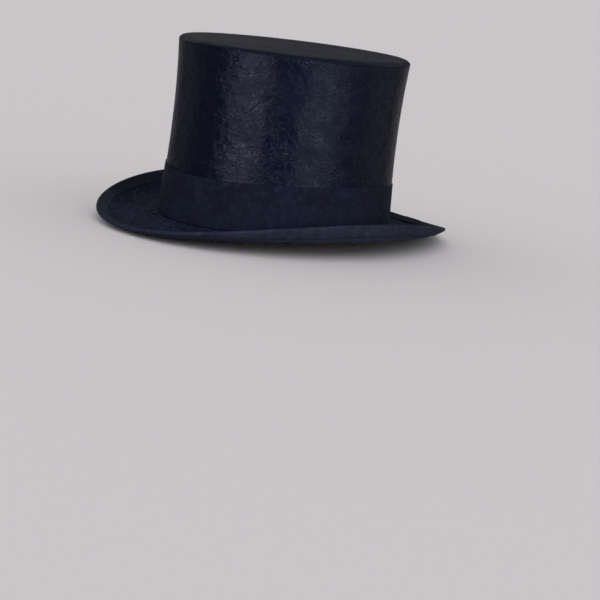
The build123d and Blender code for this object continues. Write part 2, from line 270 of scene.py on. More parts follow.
def ripple(angle, waves, seed):
    """A smooth wandering line round the hat, between about -1 and 1: a few sines of the given
    whole numbers of waves, with seeded phases."""
    phases = np.random.default_rng(seed).uniform(0, TAU, len(waves))
    lines = [np.sin(n * angle + p) for n, p in zip(waves, phases)]
    return sum(lines) / len(waves) ** 0.5


def directions(angle):
    """Unit vectors outward and round the oval at these angles."""
    outward = place(angle, 0 * angle + 1, 0 * angle) - place(angle, 0 * angle, 0 * angle)
    return outward, np.cross([0.0, 0.0, 1.0], outward)


def levels(low, top, rows):
    """Shares from 0 to 1, and the heights at those shares of the way from low to top."""
    share = np.linspace(0, 1, rows)[None, :]
    return share, low[:, None] + (top - low)[:, None] * share


def layer_of_wall(angle, height, outer, inner):
    """Closed profile of a layer of the wall: up its outer face and down its inner one."""
    return place(angle[:, None], -np.concatenate([outer, inner[:, ::-1]], axis=1),
                 np.concatenate([height, height[:, ::-1]], axis=1))


def strap_of_wall(angle, height, outer, inner, over, under):
    """Closed profile of a strap round the wall, as a layer's, but with one more point on its top
    edge, `over` its faces' tops, and one on its foot, `under` them."""
    lip = (outer[:, -1:] + inner[:, -1:]) / 2
    heel = (outer[:, :1] + inner[:, :1]) / 2
    inset = np.concatenate([outer, lip, inner[:, ::-1], heel], axis=1)
    up = np.concatenate([height, height[:, -1:] + over, height[:, ::-1], height[:, :1] - under],
                        axis=1)
    return place(angle[:, None], -inset, up)


# ---------------------------------------------------------------- meshes


def into_scene(name, points, faces, material):
    """A smooth piece of these points and faces in the finish of this name, riding on the hat."""
    mesh = bpy.data.meshes.new(name)
    mesh.from_pydata(points.reshape(-1, 3).tolist(), [], faces)
    mesh.polygons.foreach_set("use_smooth", np.ones(len(mesh.polygons), dtype=bool))
    mesh.update()
    mesh.materials.append(finish(material))
    piece = bpy.data.objects.new(name, mesh)
    bpy.context.collection.objects.link(piece)
    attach(piece, "root")
    return piece


def lay_cloth(piece, uv, nap):
    """Give a piece its map `cloth`, by face corner, and the lie of its nap, by point."""
    layer = piece.data.uv_layers.new(name="cloth")
    layer.data.foreach_set("uv", uv.astype(np.float32).ravel())
    lie = piece.data.attributes.new("nap", "FLOAT_VECTOR", "POINT")
    lie.data.foreach_set("vector", nap.astype(np.float32).ravel())
    return piece


def lattice(first, second, closed=False):
    """Four-cornered faces between first x second points: the second way closes on itself, and
    the first way too where `closed` is set."""
    i, j = np.meshgrid(np.arange(first if closed else first - 1), np.arange(second), indexing="ij")
    i2, j2 = (i + 1) % first, (j + 1) % second
    return np.stack([i * second + j, i2 * second + j, i2 * second + j2, i * second + j2],
                    axis=-1).reshape(-1, 4)


def outward_piece(name, points, faces, uv, nap, material):
    """A piece of four-cornered faces, all turned over if they enclose a negative volume."""
    points = points.reshape(-1, 3)
    a, b, c, d = (points[faces[:, k]] for k in range(4))
    six_volumes = (a * np.cross(b, c)).sum() + (a * np.cross(c, d)).sum()
    if six_volumes < 0:
        faces, uv = faces[:, ::-1], uv[:, ::-1]
    return lay_cloth(into_scene(name, points, faces.tolist(), material), uv, nap)


def carry_round(name, points, material):
    """A closed profile carried round the hat: points[i, j] is point j of the profile at column i,
    and both i and j close on themselves. UV is length round and length along the profile, and the
    nap is the same lengths wound on a cylinder, so that it has no seam."""
    columns, rows = points.shape[:2]
    step = np.linalg.norm(np.roll(points, -1, axis=1) - points, axis=2)
    down = np.concatenate([np.zeros((columns, 1)), np.cumsum(step, axis=1)], axis=1)
    stride = np.linalg.norm(np.roll(points[:, 0], -1, axis=0) - points[:, 0], axis=1)
    run = np.concatenate([[0], np.cumsum(stride)])
    turned = TAU * run[:-1, None] / run[-1] + 0 * down[:, :-1]
    reach = run[-1] / TAU
    nap = np.stack([reach * np.cos(turned), reach * np.sin(turned), down[:, :-1]], axis=-1)
    down = np.concatenate([down, down[:1]])
    flat = np.stack([run[:, None] + 0 * down, down], axis=-1)
    uv = np.stack([flat[:-1, :-1], flat[1:, :-1], flat[1:, 1:], flat[:-1, 1:]], axis=2)
    faces = lattice(columns, rows, closed=True)
    return outward_piece(name, points, faces, uv.reshape(-1, 4, 2), nap, material)


def open_strip(name, points, material):
    """A closed profile carried along a short stretch, with a flat cap on each end made of the
    profile's points paired across its thickness."""
    columns, rows = points.shape[:2]
    k = np.arange(rows // 2 - 1)
    cap = np.stack([k, k + 1, rows - 2 - k, rows - 1 - k], axis=-1)
    faces = np.concatenate([lattice(columns, rows), cap, (cap + (columns - 1) * rows)[:, ::-1]])
    stride = np.linalg.norm(np.diff(points[:, 0], axis=0), axis=1)
    run = np.concatenate([[0], np.cumsum(stride)])[:, None] + np.zeros((1, rows))
    step = np.linalg.norm(np.diff(points, axis=1), axis=2)
    down = np.concatenate([np.zeros((columns, 1)), np.cumsum(step, axis=1)], axis=1)
    flat = np.stack([run, down], axis=-1).reshape(-1, 2)
    nap = np.concatenate([points[..., :2], down[..., None]], axis=-1)
    return outward_piece(name, points, faces, flat[faces], nap, material)


def close_disc(name, share, height, inset, material, sag=None):
    """An oval disc: rings of the oval scaled by `share` at `height`, from a pole on top, round the
    edge and back to a pole below. The nap lies in circles."""
    crown = bpy.context.scene.hat_crown
    middle, level = centre()
    angle = round_angles()
    half_width, half_depth = crown.half_width - inset, crown.half_depth - inset
    x = share[:, None] * half_width * np.cos(angle)
    y = share[:, None] * half_depth * np.sin(angle)
    z = height[:, None] + 0 * x
    if sag is not None:
        z = z + sag(share[:, None], angle)
    rings = np.stack([x, middle + y, level + z], axis=-1)
    count, columns = rings.shape[:2]
    poles = [[0, middle, rings[end, :, 2].mean()] for end in (0, -1)]
    points = np.concatenate([rings.reshape(-1, 3), poles])
    step = np.linalg.norm(np.diff(rings[:, 0], axis=0), axis=1)
    down = np.concatenate([[share[0] * half_width], share[0] * half_width + np.cumsum(step)])
    nap = np.stack([x, y, down[:, None] + 0 * x], axis=-1).reshape(-1, 3)
    nap = np.concatenate([nap, [[0, 0, 0], [0, 0, down[-1] + share[-1] * half_width]]])
    ring = np.arange(columns)
    after = (ring + 1) % columns
    last = (count - 1) * columns
    body = lattice(count, columns)
    top = np.stack([np.full(columns, count * columns), ring, after], axis=-1)
    end = np.stack([np.full(columns, count * columns + 1), last + after, last + ring], axis=-1)
    corners = np.concatenate([body.ravel(), top.ravel(), end.ravel()])
    piece = into_scene(name, points, body.tolist() + top.tolist() + end.tolist(), material)
    return lay_cloth(piece, points[corners][:, :2] - [0, middle], nap)


def bars(name, points, material):
    """Closed bars in one mesh: points[b, i, j] is point j of ring i of bar b, with flat ends."""
    count, rings, sides = points.shape[:3]
    base = np.arange(count)[:, None] * rings * sides
    one = np.roll(lattice(rings, sides)[:, ::-1], 1, axis=1)
    quads = (base[:, :, None] + one).reshape(-1, 4)
    ring = np.arange(sides)
    first, last = base + ring[::-1], base + (rings - 1) * sides + ring
    return into_scene(name, points, quads.tolist() + first.tolist() + last.tolist(), material)


def stitches(name, points, along, across, length_m, thick_m, material):
    """One rounded stitch at each point: a six-sided bar, bowed at its middle, laid along `along`
    and standing proud along `across`."""
    rings, sides = 5, 6
    s = np.linspace(-1, 1, rings)
    a = np.arange(sides) * TAU / sides
    body = np.sqrt(np.clip(1 - s**4, 0.05, 1))[:, None] * thick_m / 2
    lift = thick_m * 0.35 * (1 - s**2)[:, None]
    third = np.cross(along, across)
    u = (s * length_m / 2)[:, None] + 0 * a
    v = body * np.cos(a) * 0.8 + lift
    w = body * np.sin(a)
    ways = ((u, along), (v, across), (w, third))
    bar = sum(size[None, :, :, None] * way[:, None, None, :] for size, way in ways)
    return bars(name, bar + points[:, None, None, :], material)


# ---------------------------------------------------------------- materials

# Patterns are given by the real size of their grains, in millimetres. Single silk hairs, yarns and
# linen threads are a few hundredths to a few tenths of a millimetre and would not show, so locks
# of hair and groups of threads are drawn, about a millimetre across.

RIB_PITCH = 1.3 * MM  # real grosgrain has ribs about 0.5 mm apart; drawn coarser so that they show
WAVE_UNIT = 20 / np.pi  # bands of a wave texture for each unit of its scale
PEBBLE = MM / 0.9  # real roan has pebbles about 0.5 mm across; drawn coarser so that they show


def add(tree, kind, links=(), out=0, **settings):
    """Add a shader node with its settings, fill or link its inputs, and return one output."""
    node = tree.nodes.new("ShaderNode" + kind)
    for key, value in settings.items():
        setattr(node, key, value)
    for name, value in dict(links).items():
        if isinstance(value, bpy.types.NodeSocket):
            tree.links.new(value, node.inputs[name])
        elif node.inputs[name].type == "RGBA":
            node.inputs[name].default_value = (*value, 1)
        else:
            node.inputs[name].default_value = value
    return node.outputs[out]


def grains(node, lie, millimetres, detail=2.0, rough=0.5, spread=None):
    """Noise whose grains have these real sizes along the axes of `lie`. Where `spread` is given,
    its values between those two are spread over 0 to 1."""
    scale = [1 / (size * MM) for size in millimetres]
    scaled = node("Mapping", {"Vector": lie, "Scale": scale})
    noise = node("TexNoise", {"Vector": scaled, "Scale": 1.0, "Detail": detail, "Roughness": rough})
    if spread is None:
        return noise
    return node("MapRange", {"Value": noise, "From Min": spread[0], "From Max": spread[1]})


def wandering(node, amount, grain):
    """The lie of the nap, and the same pushed about by slow noise so that the hairs wander."""
    nap = node("Attribute", out="Vector", attribute_name="nap")
    slow = node("TexNoise", {"Vector": nap, "Scale": 1 / grain, "Detail": 2.0}, "Color")
    moved = node("VectorMath", {0: slow, 1: (0.5, 0.5, 0.5)}, operation="SUBTRACT")
    push = node("VectorMath", {0: moved, 1: (amount, amount, amount)}, operation="MULTIPLY")
    return nap, node("VectorMath", {0: nap, 1: push}, operation="ADD")


def tinted(colour, *factors):
    """A colour with its parts multiplied by one factor, or by one each."""
    return tuple(part * factor for part, factor in zip(colour, factors * (3 // len(factors))))


def silk_plush(node, cloth, rough_edge, gloss_edge):
    """Silk hatter's plush: a long nap brushed and ironed flat round the crown. It is almost black
    looking into it and throws light back in upright streaks, across the hairs."""
    nap, lie = wandering(node, 9 * MM, 16 * MM)
    hair = grains(node, lie, (3.4, 3.4, 1.0), 3.0, 0.6, (0.35, 0.68))
    tuft = grains(node, lie, (11, 11, 5.5), spread=(0.35, 0.68))
    patch = grains(node, nap, (50, 50, 35), 1.0, spread=(0.35, 0.65))
    # painted light: hair tops on the tufts take the nap's painted sheen, their hollows the ground's
    # painted shade
    deep = node("MapRange", {"Value": tuft, "To Min": 0.35})
    shade = node("Math", {0: hair, 1: deep}, operation="MULTIPLY")
    colours = {0: shade, 6: cloth.plush_dark, 7: cloth.plush_nap_sheen}
    # the nap is roughest seen along the wall, where it stands up against the eye
    facing = node("LayerWeight", {"Blend": 0.5}, "Facing")
    edge = node("MapRange", {"Value": facing, "From Min": 0.45, "From Max": 0.95,
                             "To Max": rough_edge})
    gloss = node("MapRange", {"Value": facing, "From Min": 0.10, "From Max": 0.60,
                              "To Min": 0.11, "To Max": gloss_edge})
    ironed = node("MapRange", {"Value": patch, "To Min": 0.25, "To Max": 0.33})
    loose = node("MapRange", {"Value": hair, "To Min": 0.13, "To Max": -0.06})
    brushed = node("Math", {0: ironed, 1: loose}, operation="ADD")
    tufted = node("Bump", {"Height": tuft, "Distance": 1.2 * MM, "Strength": 0.25})
    return {
        "Base Color": node("Mix", colours, 2, data_type="RGBA"),
        "Roughness": node("Math", {0: brushed, 1: edge}, operation="ADD"),
        "Normal": node("Bump", {"Height": hair, "Distance": 0.6 * MM, "Strength": 0.40,
                                "Normal": tufted}),
        "IOR": 1.5, "Specular IOR Level": gloss, "Specular Tint": cloth.plush_sheen,
        "Anisotropic": 0.85, "Anisotropic Rotation": 0.25,
        "Tangent": node("Tangent", direction_type="UV_MAP", uv_map="cloth"),
        "Sheen Weight": 0.005, "Sheen Roughness": 0.35, "Sheen Tint": cloth.plush_sheen,
    }


def brushed_plush(node, cloth):
    """Short plush on the brim, left matte and rubbed into small tufts by brushing."""
    _, lie = wandering(node, 10 * MM, 20 * MM)
    hair = grains(node, lie, (3.5, 3.5, 1.0), 3.0, 0.6, (0.35, 0.68))
    tuft = grains(node, lie, (10, 10, 5), spread=(0.38, 0.66))
    # painted light: hair tops on the tufts are lighter as painted sheen, their hollows darker as
    # painted shade
    deep = node("MapRange", {"Value": tuft, "To Min": 0.5})
    shade = node("Math", {0: hair, 1: deep}, operation="MULTIPLY")
    shade = node("MapRange", {"Value": shade, "From Min": 0.10, "From Max": 0.62})
    colours = {0: shade, 6: tinted(cloth.brim_cloth, 0.25), 7: tinted(cloth.brim_cloth, 2.1)}
    tufted = node("Bump", {"Height": tuft, "Distance": 1.8 * MM, "Strength": 0.7})
    return {
        "Base Color": node("Mix", colours, 2, data_type="RGBA"), "Roughness": 0.75,
        "Normal": node("Bump", {"Height": hair, "Distance": 0.6 * MM, "Strength": 0.7,
                                "Normal": tufted}),
        "Specular IOR Level": 0.03, "Sheen Weight": 0.005, "Sheen Roughness": 0.5,
        "Sheen Tint": cloth.plush_sheen,
    }


def fulled_merino(node, cloth):
    """Fine merino cloth: a close, fulled face that hides its weave, with very little shine."""
    nap = node("Attribute", out="Vector", attribute_name="nap")
    fuzz = grains(node, nap, (1.2, 1.2, 1.2), 3.0, 0.65)
    slow = grains(node, nap, (20, 20, 12))
    shade = node("Math", {0: fuzz, 1: 0.6}, operation="MULTIPLY")
    shade = node("Math", {0: shade, 1: slow}, operation="ADD")
    shade = node("MapRange", {"Value": shade, "From Min": 0.7, "From Max": 1.4})
    colours = {0: shade, 6: tinted(cloth.merino, 0.7), 7: cloth.merino}
    return {
        "Base Color": node("Mix", colours, 2, data_type="RGBA"), "Roughness": 0.85,
        "Normal": node("Bump", {"Height": fuzz, "Distance": 0.3 * MM, "Strength": 0.6}),
        "Specular IOR Level": 0.03, "Sheen Weight": 0.01, "Sheen Roughness": 0.5,
        "Sheen Tint": cloth.plush_sheen,
    }


def silk_grosgrain(node, ribbon):
    """Grosgrain ribbon: close upright ribs of silk over cotton cord, matte, slightly dusty."""
    uv = node("UVMap", uv_map="cloth")
    ribs = node("TexWave", {"Vector": uv, "Scale": 1 / RIB_PITCH / WAVE_UNIT}, "Fac",
                wave_type="BANDS", bands_direction="X", wave_profile="SIN")
    nap = node("Attribute", out="Vector", attribute_name="nap")
    yarn = grains(node, nap, (1.2, 1.2, 2.2), 3.0, 0.7)
    slow = grains(node, nap, (30, 30, 20))
    dust = grains(node, nap, (6, 6, 6), 4.0, spread=(0.5, 0.75))
    ridge = node("Math", {0: ribs, 1: 0.16}, operation="MULTIPLY")
    spun = node("Math", {0: yarn, 1: 1.1}, operation="MULTIPLY")
    shade = node("Math", {0: ridge, 1: spun}, operation="ADD")
    shade = node("Math", {0: shade, 1: slow}, operation="ADD")
    shade = node("MapRange", {"Value": shade, "From Min": 0.85, "From Max": 1.45})
    clean = node("Mix", {0: shade, 6: tinted(ribbon, 0.45), 7: ribbon}, 2, data_type="RGBA")
    thin = node("Math", {0: dust, 1: 0.5}, operation="MULTIPLY")
    dusty = tuple(part * 1.5 + 0.002 for part in ribbon)
    fine = node("Math", {0: yarn, 1: 0.5}, operation="MULTIPLY")
    height = node("Math", {0: ribs, 1: fine}, operation="ADD")
    return {
        "Base Color": node("Mix", {0: thin, 6: clean, 7: dusty}, 2, data_type="RGBA"),
        "Normal": node("Bump", {"Height": height, "Distance": 0.12 * MM, "Strength": 0.35}),
        "Roughness": 0.75, "Specular IOR Level": 0.025, "Sheen Weight": 0.004,
        "Sheen Roughness": 0.5,
    }


def roan_sheepskin(node, cloth):
    """Roan, a thin tanned sheepskin: fine pebbled grain, a soft wax sheen, darker where worn."""
    where = node("TexCoord", out="Object")
    pebbles = node("TexVoronoi", {"Vector": where, "Scale": 1 / PEBBLE}, "Distance")
    creases = grains(node, where, (12, 12, 4), 4.0, 0.6)
    wear = grains(node, where, (50, 50, 30), 3.0, spread=(0.35, 0.7))
    dark = tinted(cloth.leather, 0.55)
    worn = node("Mix", {0: wear, 6: dark, 7: cloth.leather}, 2, data_type="RGBA")
    # painted shade: the leather darkens in the valleys of its creases, where the crease height runs
    # low
    painted_crease_shade = node("MapRange", {"Value": creases, "From Min": 0.3, "From Max": 0.6,
                                "To Min": 0.6, "To Max": 0})
    low = node("Math", {0: pebbles, 1: 0.6}, operation="MULTIPLY")
    height = node("Math", {0: low, 1: creases}, operation="ADD")
    return {
        "Base Color": node("Mix", {0: painted_crease_shade, 6: worn, 7: dark}, 2, data_type="RGBA"),
        "Roughness": node("MapRange", {"Value": wear, "To Min": 0.38, "To Max": 0.55}),
        "Normal": node("Bump", {"Height": height, "Distance": 0.4 * MM, "Strength": 0.5}),
        "Specular IOR Level": 0.5, "Coat Weight": 0.08, "Coat Roughness": 0.3,
    }


def lining_satin(node, cloth):
    """Lining satin: smooth silk floats that run up the crown, with a soft lengthwise shine."""
    nap = node("Attribute", out="Vector", attribute_name="nap")
    floats = grains(node, nap, (0.8, 0.8, 20))
    stain = grains(node, nap, (60, 60, 50), 4.0, spread=(0.45, 0.75))
    faint = node("Math", {0: stain, 1: 0.6}, operation="MULTIPLY")
    colours = {0: faint, 6: cloth.satin, 7: tinted(cloth.satin, 0.80, 0.72, 0.58)}
    return {
        "Base Color": node("Mix", colours, 2, data_type="RGBA"),
        "Roughness": 0.38, "Anisotropic": 0.6,
        "Tangent": node("Tangent", direction_type="UV_MAP", uv_map="cloth"),
        "Normal": node("Bump", {"Height": floats, "Distance": 0.15 * MM, "Strength": 0.5}),
        "Specular IOR Level": 0.5, "Sheen Weight": 0.1, "Sheen Roughness": 0.3,
    }


def woven_linen(node, colour, shine):
    """Plain-woven linen. Shellac, where it has been ironed in, browns it and makes it shine."""
    where = node("TexCoord", out="Object")
    warp = grains(node, where, (0.9, 0.9, 6))
    weft = grains(node, where, (5, 5, 0.9))
    cloudy = grains(node, where, (30, 30, 30), 4.0, spread=(0.35, 0.7))
    weave = node("Math", {0: warp, 1: weft}, operation="MAXIMUM")
    dark = tinted(colour, 0.6)
    tone = node("Mix", {0: cloudy, 6: dark, 7: colour}, 2, data_type="RGBA")
    gaps = node("MapRange", {"Value": weave, "From Min": 0.45, "From Max": 0.65,
                             "To Min": 0.35, "To Max": 0})
    return {
        "Base Color": node("Mix", {0: gaps, 6: tone, 7: dark}, 2, data_type="RGBA"),
        "Roughness": 0.85 - 0.35 * shine, "Specular IOR Level": 0.4,
        "Normal": node("Bump", {"Height": weave, "Distance": 0.3 * MM, "Strength": 0.6}),
        "Coat Weight": 0.3 * shine, "Coat Roughness": 0.35,
    }


def sewing_thread(node, colour):
    """Twisted sewing thread with a little wax on it."""
    where = node("TexCoord", out="Object")
    twist = grains(node, where, (0.5, 0.5, 0.5), 1.0)
    turns = node("MapRange", {"Value": twist, "From Min": 0.4, "From Max": 0.6})
    colours = {0: turns, 6: tinted(colour, 0.5), 7: colour}
    return {
        "Base Color": node("Mix", colours, 2, data_type="RGBA"), "Roughness": 0.7,
        "Normal": node("Bump", {"Height": twist, "Distance": 0.1 * MM, "Strength": 0.5}),
        "Specular IOR Level": 0.05,
    }


def studio_paper(_, colour):
    """Pale backdrop paper, quite matte."""
    return {"Base Color": colour, "Roughness": 0.9, "Specular IOR Level": 0.1}


def finish(name):
    """The finish of this name, made once and then shared."""
    made = bpy.data.materials.get(name)
    if made:
        return made
    cloth = bpy.context.scene.hat_cloth
    finishes = {
        "hatters_plush": (silk_plush, cloth, 0.15, 0.012),
        "ironed_tip_plush": (silk_plush, cloth, 0.40, 0.10),
        "brushed_plush": (brushed_plush, cloth),
        "fulled_merino": (fulled_merino, cloth),
        "ribbed_grosgrain": (silk_grosgrain, cloth.grosgrain),
        "binding_grosgrain": (silk_grosgrain, cloth.binding),
        "roan_sheepskin": (roan_sheepskin, cloth),
        "lining_satin": (lining_satin, cloth),
        "shellacked_linen": (woven_linen, cloth.gossamer, 1.0),
        "linen_tape": (woven_linen, cloth.linen, 0.1),
        "black_sewing_silk": (sewing_thread, cloth.black_thread),
        "pale_sewing_cotton": (sewing_thread, cloth.pale_thread),
        "studio_paper": (studio_paper, bpy.context.scene.hat_studio.floor),
    }
    sockets, *given = finishes[name]
    made = bpy.data.materials.new(name)
    made.use_nodes = True
    tree = made.node_tree
    tree.nodes.clear()
    surface = add(tree, "BsdfPrincipled", sockets(partial(add, tree), *given))
    tree.links.new(surface, tree.nodes.new("ShaderNodeOutputMaterial").inputs[0])
    return made


# ---------------------------------------------------------------- pieces


class HAT_OT_shells(bpy.types.Operator):
    """Give the stiffened shells, the robbin and the tape, which the CAD shapes, their finish"""

    bl_idname = "hat.shells"
    bl_label = "Shells"
    bl_options = {"REGISTER", "UNDO"}

    def execute(self, context):
        finishes = {"crown_side_shell": "shellacked_linen", "crown_tip_shell": "shellacked_linen",
                    "brim_shell": "shellacked_linen", "robbin_strip": "linen_tape",
                    "reed_tape": "linen_tape"}
        for node, name in finishes.items():
            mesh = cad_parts[node].data
            mesh.materials.clear()
            mesh.materials.append(finish(name))
        return {"FINISHED"}


class HAT_OT_crown_plush(bpy.types.Operator):
    """Make the plush covers of the crown's side and tip"""

    bl_idname = "hat.crown_plush"
    bl_label = "Crown Plush"
    bl_options = {"REGISTER", "UNDO"}

    def execute(self, context):
        crown = context.scene.hat_crown
        radius = crown.tip_radius
        start = crown.height - radius  # where the wall ends and the round of the tip's edge begins
        seam = np.arcsin((crown.height - crown.seam_depth - start) / radius)
        self.side(crown, radius, start, seam)
        self.tip(crown, radius, start, seam)
        return {"FINISHED"}

    def side(self, crown, radius, start, seam):
        """Up the wall and round the tip's edge as far as the seam, and back a plush's depth in."""
        angle = round_angles()
        low = foot(angle)[:, None] + 0.9 * MM
        straight = low + (start - low) * np.linspace(0, 1, 64)
        bend = np.linspace(0, seam, 6)[1:]

        def edge(turned, inset, reach):
            """Insets and heights along the round of the tip's edge."""
            return (wall(start) + inset + reach * (1 - np.cos(turned))[None, :] + 0 * low,
                    start + reach * np.sin(turned)[None, :] + 0 * low)

        over, over_up = edge(bend, 0, radius)
        under, under_up = edge(bend[::-1], crown.plush, radius - crown.plush)
        inset = wall(straight)
        inset = np.concatenate([inset, over, under, inset[:, ::-4] + crown.plush], axis=1)
        height = np.concatenate([straight, over_up, under_up, straight[:, ::-4]], axis=1)
        side = carry_round("plush_side_cover", place(angle[:, None], -inset, height),
                           "hatters_plush")
        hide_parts("crown_side_plush")

    def tip(self, crown, radius, start, seam):
        """The flat of the tip, round its edge down to the seam, and back a plush's depth in."""
        lip = 0.12 * MM  # it stands this far proud of the side's cover at the seam
        bend = np.linspace(np.pi / 2, seam, 7)
        reach = crown.half_width - crown.top_inset
        flat = np.concatenate([[0.008], np.linspace(0.05, 1, 22) * (reach - radius) / reach])
        under = flat[::-2]
        inner = radius - crown.plush
        share = np.concatenate([flat, 1 - (radius - (radius + lip) * np.cos(bend[1:])) / reach,
                                1 - (radius - inner * np.cos(bend[::-1])) / reach, under])
        height = np.concatenate([
            np.full(len(flat), crown.height), start + (radius + lip) * np.sin(bend[1:]),
            start + inner * np.sin(bend[::-1]), np.full(len(under), crown.height - crown.plush),
        ])
        tip = close_disc("plush_tip_cover", share, height, crown.top_inset, "ironed_tip_plush")
        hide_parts("crown_tip_plush")


class HAT_OT_wisps(bpy.types.Operator):
    """Lay stray silk hairs that have worked loose from the nap of the crown"""

    bl_idname = "hat.wisps"
    bl_label = "Wisps"
    bl_options = {"REGISTER", "UNDO"}

    def execute(self, context):
        crown = context.scene.hat_crown
        chance = np.random.default_rng(17)
        on_wall, on_edge = 900, 260
        above_band, under_tip, edge = 43 * MM, crown.height - 6 * MM, 4 * MM
        count = on_wall + on_edge
        angle = chance.uniform(0, TAU, count)
        height = np.concatenate([chance.uniform(above_band, under_tip, on_wall),
                                 crown.height - chance.uniform(0, edge, on_edge)])
        radius = crown.tip_radius
        start = crown.height - radius
        over = np.clip(height - start, 0, radius)
        inset = wall(np.minimum(height, start)) + radius - np.sqrt(radius**2 - over**2)
        bend = np.arcsin(over / radius)
        outward, round_it = directions(angle)
        proud = outward * np.cos(bend)[:, None] + np.sin(bend)[:, None] * np.array([0, 0, 1.0])
        slope = chance.normal(0, 0.35, count)
        rise = np.cross(round_it, proud)
        along = round_it * np.cos(slope)[:, None] + rise * np.sin(slope)[:, None]
        root = place(angle, 0.05 * MM - inset, height)
        lengths = chance.uniform(2.0, 5.0, count) * MM
        most = np.where(np.arange(count) < on_wall, 0.25, 0.8)
        lift = most * chance.uniform(0.2, 1, count) * MM
        share = np.linspace(0, 1, 5)
        spine = (root[:, None] + along[:, None] * (lengths[:, None] * share)[..., None]
                 + proud[:, None] * (lift[:, None] * share**1.6)[..., None])
        # a hair that runs straight leaves the round of the crown, so each is drawn back onto it
        drop = (lengths[:, None] * share) ** 2 / (2 * crown.half_width)
        spine = spine - outward[:, None] * drop[..., None]
        thick = 0.07 * MM * (1 - 0.7 * share)  # a few hairs that cling together, tapering
        turned = np.arange(3) * TAU / 3
        third = np.cross(along, proud)
        ring = (np.cos(turned)[None, None, :, None] * proud[:, None, None, :]
                + np.sin(turned)[None, None, :, None] * third[:, None, None, :])
        points = spine[:, :, None, :] + ring * thick[None, :, None, None]
        hairs = bars("nap_wisps", points, "hatters_plush")
        return {"FINISHED"}


class HAT_OT_brim(bpy.types.Operator):
    """Make the brim's plush, its under cloth and the ribbon that binds its rim"""

    bl_idname = "hat.brim"
    bl_label = "Brim"
    bl_options = {"REGISTER", "UNDO"}

    def execute(self, context):
        brim = context.scene.hat_brim
        plush = self.layer("brim_plush_cover", 0.4 * MM, BRIM_PLUSH, "brushed_plush")
        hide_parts("brim_upper_plush")
        merino = self.layer("merino_under_cloth", -2.5 * MM, BRIM_MERINO, "fulled_merino")
        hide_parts("brim_under_cloth")
        self.binding(brim)
        self.lap(brim)
        return {"FINISHED"}

    def layer(self, name, start, lifts, material):
        """A skin of the brim from `start` to the rim, between two lifts off the middle surface."""
        rows = 30
        angle = round_angles()[:, None]
        along = start + (brim_width(angle) - start) * np.linspace(0, 1, rows)[None, :]
        faces = (brim_section(angle, along, lifts[1]),
                 brim_section(angle, along[:, ::-1], lifts[0]))
        out, up = (np.concatenate([face[k] for face in faces], axis=1) for k in (0, 1))
        points = place(angle, out, up)
        piece = carry_round(name, points, material)
        return piece

    def binding(self, brim):
        """The ribbon, folded over the rim: its outer face, puckered at its edges, in from the top
        over the nose of the rim to below, then its inner face back."""
        angle = round_angles(FINE)[:, None]
        width = brim_width(angle)
        half, ribbon, reach = brim.half_thickness, brim.ribbon, brim.binding_reach
        pucker = 0.10 * MM * ripple(angle, (34, 47, 61, 88), 5)
        edge = 0.25 * MM * ripple(angle, (9, 17, 41, 73), 8)
        share = np.linspace(0, 1, 12)[None, :]
        along = width - reach + edge + (reach - edge) * share
        press = np.minimum(1, share * 9) ** 0.5
        face = half - ribbon * 0.55 * (1 - press) + pucker * (1 - share)
        inside = half - ribbon
        mid_out, mid_up, slope = brim_section(angle, width, 0.0)

        def nose(lift, way):
            """Half a round over the rim, from above to below or, with `way` -1, back."""
            turned = way * NOSE + slope
            return mid_out + lift * np.cos(turned), mid_up + lift * np.sin(turned)

        under = brim_section(angle, along[:, ::-1], -inside + 0 * face)
        above = brim_section(angle, along, inside + 0 * face)
        rounds = [brim_section(angle, along, face), nose(half, 1),
                  brim_section(angle, along[:, ::-1], -face[:, ::-1]),
                  [v[:, ::-1] for v in under[:2]], nose(inside, -1),
                  [v[:, ::-1] for v in above[:2]]]
        out, up = (np.concatenate([part[k] for part in rounds], axis=1) for k in (0, 1))
        points = place(angle, out, up)
        binding = carry_round("grosgrain_binding", points, "binding_grosgrain")
        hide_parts("brim_edge_binding")

    def lap(self, brim):
        """The overlap of the binding's ends at the back: a short folded strip over the binding."""
        half = np.radians(3.0)
        angle = np.linspace(BACK - half, BACK + half, 25)[:, None]
        width = brim_width(angle)
        share = np.linspace(0, 1, 10)[None, :]
        along = width - brim.binding_reach + brim.binding_reach * share
        mid_out, mid_up, slope = brim_section(angle, width, 0.0)

        def fold(lift):
            """Outward and up along a face at this lift: over the brim, round the nose and under."""
            upper = brim_section(angle, along, lift)
            lower = brim_section(angle, along[:, ::-1], -lift)
            out = [upper[0], mid_out + lift * np.cos(NOSE + slope), lower[0]]
            up = [upper[1], mid_up + lift * np.sin(NOSE + slope), lower[1]]
            return np.concatenate(out, axis=1), np.concatenate(up, axis=1)

        outside = fold(brim.half_thickness + 0.36 * MM)
        inside = fold(brim.half_thickness + 0.02 * MM)
        out, up = (np.concatenate([outside[k], inside[k][:, ::-1]], axis=1) for k in (0, 1))
        piece = open_strip("binding_lap", place(angle, out, up), "binding_grosgrain")
        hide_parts("brim_binding_lap")


